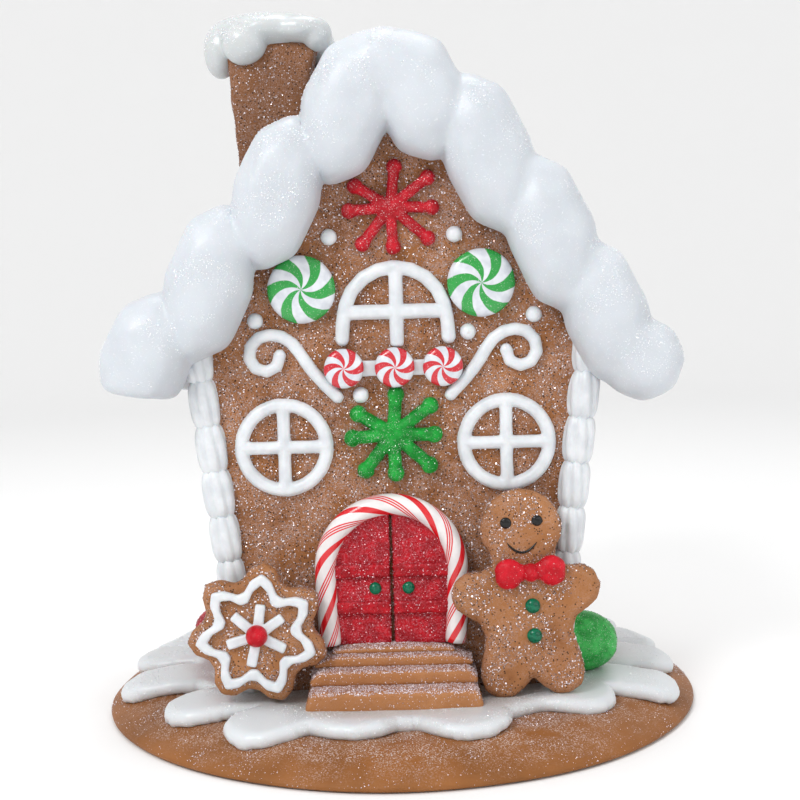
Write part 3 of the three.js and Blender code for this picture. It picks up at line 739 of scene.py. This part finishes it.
def mint(name, source, material):
    """A round sweet with a flat back, a rounded rim and a slightly raised face."""
    low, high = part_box(source)
    radius, height = (high.x - low.x) / 2, high.y - low.y
    at = on_wall(low, high)
    flat, rim = radius * 0.58, radius * 0.42
    waist, rise, count = height * 0.42, height * 0.52, 12
    profile = [(0, 0), (radius * 0.9, 0)]
    for i in range(count):
        a = math.pi / 2 * (1.6 * i / count - 0.6)
        profile.append((flat + rim * math.cos(a) ** 0.8, waist + rise * math.sin(a)))
    profile += [(flat, waist + rise), (radius * 0.35, height * 0.98), (0, height)]
    mesh = lathe_mesh(name, profile, 64)
    roughen(mesh, (0.00015, 0.004, at.x * 50))
    piece(name, mesh, material, [source], at)


for side in SIDES:
    mint("green_mint_" + side, "mint_green_" + side, GREEN_MINT)
for i in range(1, 4):
    mint(f"red_mint_{i}", f"mint_red_{i}", RED_MINT)


def stud(name, source, material, peak=1.0, point=0.0):
    """A small dome of icing or enamel, as wide as the CAD stud. Point is how far a tip is drawn out."""
    low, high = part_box(source)
    radius, height = (high.x - low.x) / 2, (high.y - low.y) * peak
    count = 9
    profile = [(0, -SUNK), (radius * 0.96, -SUNK)]
    for i in range(count):
        a = math.pi / 2 * i / count
        profile.append((radius * math.cos(a), height * math.sin(a)))
    profile.append((0, height * (1 + point)))
    mesh = lathe_mesh(name, profile, 28)
    at = on_wall(low, high)
    roughen(mesh, (0.00012, 0.0025, at.x * 70))
    piece(name, mesh, material, [source], at)


for i in range(1, 7):
    tip = 0.25 if i == 5 else 0.0
    stud(f"snow_dot_{i}", f"icing_dot_{i}", WHITE, 1.0, tip)
for side in SIDES:
    stud("knob_" + side, "door_knob_" + side, TEAL)
for i in (1, 2):
    stud(f"eye_{i}", f"man_eye_{i}", BLACK)
    stud(f"button_{i}", f"man_button_{i}", TEAL, 1.1)
stud("cookie_ball", "cookie_red_ball", PLAIN_RED)


def make_smile():
    """A thin dark curve painted on the man's face."""
    left, right = centre_of("man_eye_1"), centre_of("man_eye_2")
    middle = (left + right) / 2
    half = (right.x - left.x) / 2
    count, sides, radius = 24, 8, 0.0004
    drop, curl = 0.0104, 0.0036
    inward = Vector((0, 1, 0))
    points = []
    for i in range(count + 1):
        t = 2 * i / count - 1
        centre = Vector((middle.x + half * t * 0.98, left.y - 0.0002, middle.z - drop + curl * t * t))
        across = Vector((half, 0, 2 * curl * t)).normalized().cross(inward)
        thin = radius * max(0.05, 1 - abs(t) ** 6)
        for k in range(sides):
            a = 2 * math.pi * k / sides
            points.append(centre + across * thin * math.cos(a) + inward * thin * math.sin(a))
    mesh = weld_and_orient(mesh_from("smile", points, rod_faces(count + 1, sides)))
    piece("smile", mesh, BLACK)


make_smile()


def gumdrop(colour, side, material):
    """A gumdrop that lies with its round end pointing to one side, and its white foot."""
    low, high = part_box("gumdrop_" + colour)
    foot_low, foot_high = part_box(f"gumdrop_{colour}_foot")
    radius, length = (high.z - low.z) / 2, high.x - low.x
    outward = 1 if side == "+X" else -1
    start = low.x if outward > 0 else high.x
    at = Vector((start, (low.y + high.y) / 2, (low.z + high.z) / 2))
    count = 16
    profile = [(0, -SUNK), (radius * 0.97, -SUNK), (radius, 0.001)]
    for i in range(1, count):
        t = i / count
        profile.append((radius * (1 - t ** 2.6) ** 0.5, length * t))
    profile.append((0, length))
    mesh = lathe_mesh("gum_" + colour, profile, 64, side)
    roughen(mesh, (0.0002, 0.006, 41), (0.00012, 0.0009, 42))
    piece("gum_" + colour, mesh, material, ["gumdrop_" + colour], at)
    foot_start = foot_low.x if outward > 0 else foot_high.x
    width = foot_high.x - foot_low.x + SUNK
    rounded = [(0, 0), (radius * 0.93, 0), (radius, width * 0.3), (radius, width * 0.75),
               (radius * 0.95, width), (0, width)]
    foot = lathe_mesh("gum_foot_" + colour, rounded, 48, side)
    roughen(foot, (0.0002, 0.004, 43))
    piece("gum_foot_" + colour, foot, WHITE, [f"gumdrop_{colour}_foot"],
          Vector((foot_start, at.y, at.z)))


gumdrop("green", "+X", GREEN_GUM)
gumdrop("red", "-X", RED_GUM)


def make_cane():
    """The cane: one bent rod, two legs and a round arch, with the stripes' phase kept in an attribute."""
    low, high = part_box("candy_cane_arch")
    radius = (high.y - low.y) / 2
    middle = (low.x + high.x) / 2
    y = (low.y + high.y) / 2
    half = (high.x - low.x) / 2 - radius
    top = high.z - radius
    spring = top - half * 0.98
    foot = low.z + 0.0006
    leg_steps, arch_steps, toe_in = 16, 48, 0.0012
    leg = [((1 - i / leg_steps) ** 2 * toe_in, foot + (spring - foot) * i / leg_steps)
           for i in range(leg_steps)]
    path = [(middle - half + inward, z) for inward, z in leg]
    for i in range(arch_steps + 1):
        a = math.pi * (1 - i / arch_steps)
        path.append((middle + half * math.cos(a), spring + (top - spring) * math.sin(a)))
    path += [(middle + half - inward, z) for inward, z in reversed(leg)]
    path = np.array(path)
    tangent = np.gradient(path, axis=0)
    tangent /= np.linalg.norm(tangent, axis=1)[:, None]
    length = np.concatenate([[0], np.cumsum(np.linalg.norm(np.diff(path, axis=0), axis=1))])
    pitch, sides = 0.0435, 32
    points, phase = [], []
    for i, (x, z) in enumerate(path):
        across = (tangent[i][1], -tangent[i][0])
        for k in range(sides):
            a = 2 * math.pi * k / sides
            c, d = math.cos(a), math.sin(a)
            points.append((x + across[0] * radius * c, y - radius * d, z + across[1] * radius * c))
            phase += [c, d, length[i] / pitch]
    mesh = mesh_from("cane_rod", points, rod_faces(len(path), sides))
    rod = mesh.attributes.new("rod", "FLOAT_VECTOR", "POINT")
    rod.data.foreach_set("vector", np.array(phase, np.float32))
    piece("cane_rod", weld_and_orient(mesh), CANE, ["candy_cane_arch"])


make_cane()


# ---- glitter and sugar ----
def surface_points(objs, per_mm2, rng, keep=None):
    """Random places on the outside of the pieces, and the way the surface faces at each."""
    mm2_in_m2 = 1e6
    where, facing = [], []
    for obj in objs:
        mesh = obj.data
        mesh.calc_loop_triangles()
        tris = np.empty(len(mesh.loop_triangles) * 3, np.int32)
        mesh.loop_triangles.foreach_get("vertices", tris)
        tris = tris.reshape(-1, 3)
        co = positions(mesh) + np.array(obj.location)
        a, b, c = co[tris[:, 0]], co[tris[:, 1]], co[tris[:, 2]]
        cross = np.cross(b - a, c - a)
        area = np.linalg.norm(cross, axis=1) / 2
        count = int(area.sum() * mm2_in_m2 * per_mm2)
        pick = rng.choice(len(tris), count, p=area / area.sum())
        u, v = rng.random(count), rng.random(count)
        over = u + v > 1
        u[over], v[over] = 1 - u[over], 1 - v[over]
        spot = a[pick] + (b - a)[pick] * u[:, None] + (c - a)[pick] * v[:, None]
        normal = cross[pick] / (2 * area[pick])[:, None]
        good = np.ones(count, bool) if keep is None else keep(spot, normal, rng)
        where.append(spot[good])
        facing.append(normal[good])
    return np.concatenate(where), np.concatenate(facing)


def flake_mesh(name, where, facing, smallest, largest, tilt, rng):
    """One mesh of loose four-sided flakes, each tilted its own way a little above the surface."""
    lift = 0.00006
    outline = ((-1, -0.8), (1, -0.7), (0.9, 0.8), (-0.8, 1))
    count = len(where)
    lean = facing + rng.normal(0, tilt, (count, 3))
    lean /= np.linalg.norm(lean, axis=1)[:, None]
    other = rng.normal(0, 1, (count, 3))
    side_a = np.cross(lean, other)
    side_a /= np.linalg.norm(side_a, axis=1)[:, None]
    side_b = np.cross(lean, side_a)
    size = smallest + (largest - smallest) * rng.random(count) ** 2
    centre = where + facing * (lift + size * 0.2)[:, None]
    corners = np.empty((count, 4, 3))
    for k, (p, q) in enumerate(outline):
        corners[:, k] = centre + side_a * (p * size / 2)[:, None] + side_b * (q * size / 2)[:, None]
    mesh = bpy.data.meshes.new(name)
    mesh.vertices.add(count * 4)
    mesh.vertices.foreach_set("co", corners.astype(np.float32).ravel())
    mesh.loops.add(count * 4)
    mesh.loops.foreach_set("vertex_index", np.arange(count * 4, dtype=np.int32))
    mesh.polygons.add(count)
    mesh.polygons.foreach_set("loop_start", np.arange(0, count * 4, 4, dtype=np.int32))
    mesh.update(calc_edges=True)
    mesh.validate()
    return mesh


def scatter(name, keys, per_mm2, sizes, tilt, material, seed, keep=None):
    """Strews flakes over shown pieces. Sizes are the smallest and the largest, in millimetres."""
    rng = np.random.default_rng(seed)
    where, facing = surface_points([shown[k] for k in keys], per_mm2, rng, keep)
    mesh = flake_mesh(name, where, facing, sizes[0] * MM, sizes[1] * MM, tilt, rng)
    piece(name, mesh, material)
    mesh.polygons.foreach_set("use_smooth", [False] * len(mesh.polygons))


def thickest_in_front(spot, normal, rng):
    """All over the walls, but thinner on the sides and the back than on the decorated front."""
    front = normal[:, 1] < -0.5
    return (spot[:, 2] > 0.012) & (normal[:, 2] > -0.5) & (front | (rng.random(len(spot)) < 0.55))


def in_drifts(size, threshold, seed):
    """Keeps places where slow noise is high, so the glitter lies in drifts."""
    def keep(spot, normal, rng):
        drift = noise_values(spot, size, seed)
        return (normal[:, 2] > -0.2) & (drift + 0.25 * rng.random(len(spot)) > threshold)
    return keep


def on_treads(spot, normal, rng):
    return normal[:, 2] > 0.45


def near_icing(spot, normal, rng):
    """On the base's upper side, thick beside the icing and thin at the rim."""
    reach = np.hypot(spot[:, 0], spot[:, 1]) / BASE_RADIUS
    return (normal[:, 2] > 0.1) & (reach > 0.7) & (rng.random(len(spot)) < 1.25 - reach)


STEPS = [f"doorstep_{i}" for i in range(1, 5)]
FIGURES = ["gingerbread_man", "star_cookie"]
SNOWS = ["gable_snow_front", "gable_snow_back", "roof_snow_layer", "chimney_snow"]
DOORS = ["door_panel_left", "door_panel_right"]
scatter("glitter_walls", ["house_walls"], 1.6, (0.2, 0.6), 0.5, FLAKE, 50, thickest_in_front)
scatter("glitter_figures", FIGURES, 2.2, (0.2, 0.62), 0.5, FLAKE, 51,
        in_drifts(0.007, 0.0, 68))
scatter("glitter_chimney", ["chimney_stack"], 0.9, (0.2, 0.55), 0.5, FLAKE, 64)
scatter("glitter_steps", STEPS, 0.5, (0.18, 0.45), 0.5, SUGAR, 56)
scatter("sugar_treads", STEPS, 9.0, (0.2, 0.42), 0.6, SUGAR, 57, on_treads)
scatter("glitter_base", ["gingerbread_base"], 1.1, (0.15, 0.36), 0.5, SUGAR, 58,
        near_icing)
scatter("glints_base", ["gingerbread_base"], 0.8, (0.25, 0.5), 0.5, SUGAR, 65,
        in_drifts(0.012, 0.42, 66))
scatter("glitter_snow", SNOWS, 1.4, (0.2, 0.42), 0.5, SNOW_FLAKE, 52,
        in_drifts(0.011, 0.22, 60))
scatter("glitter_ground", ["ground_snow"], 0.9, (0.2, 0.42), 0.5, SNOW_FLAKE, 59,
        in_drifts(0.012, 0.2, 61))
scatter("glints_red", ["frost_star_red"], 2.4, (0.15, 0.34), 0.5, RED_GLINT, 53)
scatter("glints_bow", ["bow_tie"], 0.6, (0.15, 0.3), 0.5, RED_GLINT, 67)
scatter("glints_green", ["frost_star_green"], 2.0, (0.15, 0.36), 0.5, GREEN_GLINT, 62)
scatter("sugar_door", DOORS, 2.2, (0.2, 0.5), 0.7, CRYSTAL, 54)
scatter("sugar_gum_green", ["gum_green"], 2.5, (0.14, 0.3), 0.6, GREEN_GLINT, 55)
scatter("sugar_gum_red", ["gum_red"], 2.5, (0.14, 0.3), 0.6, RED_GLINT, 63)


# ---- stage, light and camera ----
def make_stage():
    """A plain pale dish: a flat floor that curves up all round, so that no horizon shows."""
    ground = base_low.z - 0.0002
    flat, bend, high, count = 1.2, 0.6, 1.1, 12
    profile = [(0, ground), (flat * 0.25, ground), (flat, ground)]
    for i in range(1, count + 1):
        a = math.pi / 2 * i / count
        profile.append((flat + bend * math.sin(a), ground + bend * (1 - math.cos(a))))
    profile.append((flat + bend, ground + high))
    mesh = lathe_mesh("floor", profile, 96, "+Z")
    mesh.flip_normals()
    mesh.shade_smooth()
    mesh.materials.append(Shade("floor_pale", Roughness=0.7).done((0.93, 0.93, 0.93, 1)))
    floor = bpy.data.objects.new("floor", mesh)
    bpy.context.scene.collection.objects.link(floor)


def area_light(name, where, target, size, power):
    data = bpy.data.lights.new(name, "AREA")
    data.shape = "DISK"
    data.size = size
    data.energy = power
    lamp = bpy.data.objects.new(name, data)
    lamp.location = where
    lamp.rotation_euler = (Vector(target) - Vector(where)).to_track_quat("-Z", "Y").to_euler()
    bpy.context.scene.collection.objects.link(lamp)


def make_lights():
    world = bpy.data.worlds.new("studio")
    world.use_nodes = True
    background = world.node_tree.nodes["Background"]
    background.inputs["Color"].default_value = (1, 1, 1, 1)
    background.inputs["Strength"].default_value = 0.8
    bpy.context.scene.world = world
    aim = (0, 0, 0.11)
    area_light("key", (-0.55, -0.75, 0.85), aim, 0.4, 6)
    area_light("fill", (0.8, -0.7, 0.45), aim, 0.7, 1.5)
    area_light("top", (0.05, 0.15, 1.0), aim, 0.5, 2.4)


def make_camera():
    """Stands before the front wall at the height of the gable windows, looking a little down."""
    distance, height, aside = 0.48, 0.158, 0.002
    down, tilt = math.radians(5.134), math.radians(1.5)
    forward = Vector((0, math.cos(down), -math.sin(down)))
    right, up = Vector((1, 0, 0)), Vector((0, math.sin(down), math.cos(down)))
    leaning_right = right * math.cos(tilt) - up * math.sin(tilt)
    leaning_up = right * math.sin(tilt) + up * math.cos(tilt)
    data = bpy.data.cameras.new("camera")
    data.sensor_width = 36
    data.lens = 62.6
    data.clip_start = 0.01
    camera = bpy.data.objects.new("camera", data)
    turn = Matrix((leaning_right, leaning_up, -forward)).transposed().to_4x4()
    camera.matrix_world = Matrix.Translation((aside, FRONT - distance, height)) @ turn
    bpy.context.scene.collection.objects.link(camera)
    bpy.context.scene.camera = camera


make_stage()
make_lights()
make_camera()
bpy.context.scene.view_settings.view_transform = "Standard"
